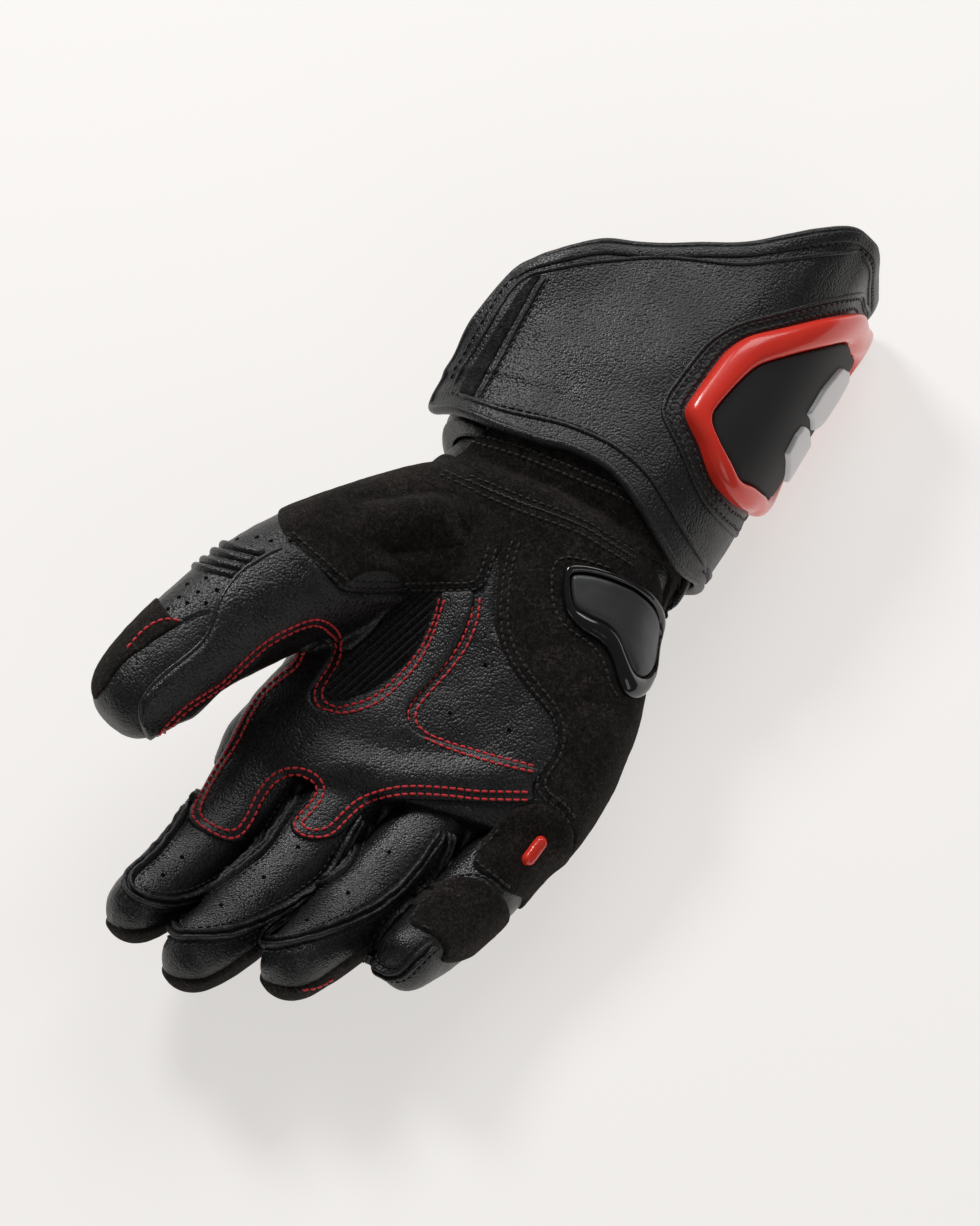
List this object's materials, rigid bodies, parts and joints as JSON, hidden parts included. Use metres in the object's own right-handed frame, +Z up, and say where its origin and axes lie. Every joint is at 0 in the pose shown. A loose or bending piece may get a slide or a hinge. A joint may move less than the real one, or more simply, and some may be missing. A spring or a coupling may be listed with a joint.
{
  "type": "motorcycle glove",
  "caption": "Right-hand leather motorcycle gauntlet glove lying palm up, hollow from the flared cuff to the fingertips, with suede patches and hard sliders.",
  "frame": {"origin": "middle of the knuckle guard's flat underside, on the surface that the glove rests on", "axes": "+Z up out of the palm, -Y along the fingers, +Y out of the cuff, -X towards the thumb"},
  "size_m": [0.1342, 0.3239, 0.074],
  "materials": {
    "leather": "grained black leather",
    "suede": "matte black suede",
    "knit": "ribbed black stretch knit",
    "gloss_plastic": "polished black",
    "black_plastic": "satin black",
    "grey_plastic": "satin dark grey",
    "red_plastic": "semi-gloss red",
    "silver_plastic": "satin pale grey"
  },
  "bodies": {
    "root": {"palm_shell": "leather", "back_shell": "leather", "index_finger": "leather", "middle_finger": "leather", "ring_finger": "leather", "little_finger": "leather", "thumb_stall": "leather", "thumb_back": "leather", "palm_overlay": "leather", "wrist_strap": "leather", "cuff_shell": "leather", "cuff_flap": "leather", "index_tip_pad": "suede", "middle_tip_pad": "suede", "ring_tip_pad": "suede", "thenar_patch": "suede", "heel_patch": "suede", "little_base_patch": "suede", "little_tip_patch": "suede", "wrist_patch": "suede", "knit_panel": "knit", "flap_end_strip": "knit", "palm_slider_frame": "gloss_plastic", "knuckle_guard": "gloss_plastic", "palm_slider_insert": "grey_plastic", "little_slider": "red_plastic", "cuff_slider_frame": "red_plastic", "cuff_slider_insert": "black_plastic", "slider_bar_1": "silver_plastic", "slider_bar_2": "silver_plastic"}
  },
  "joints": []
}
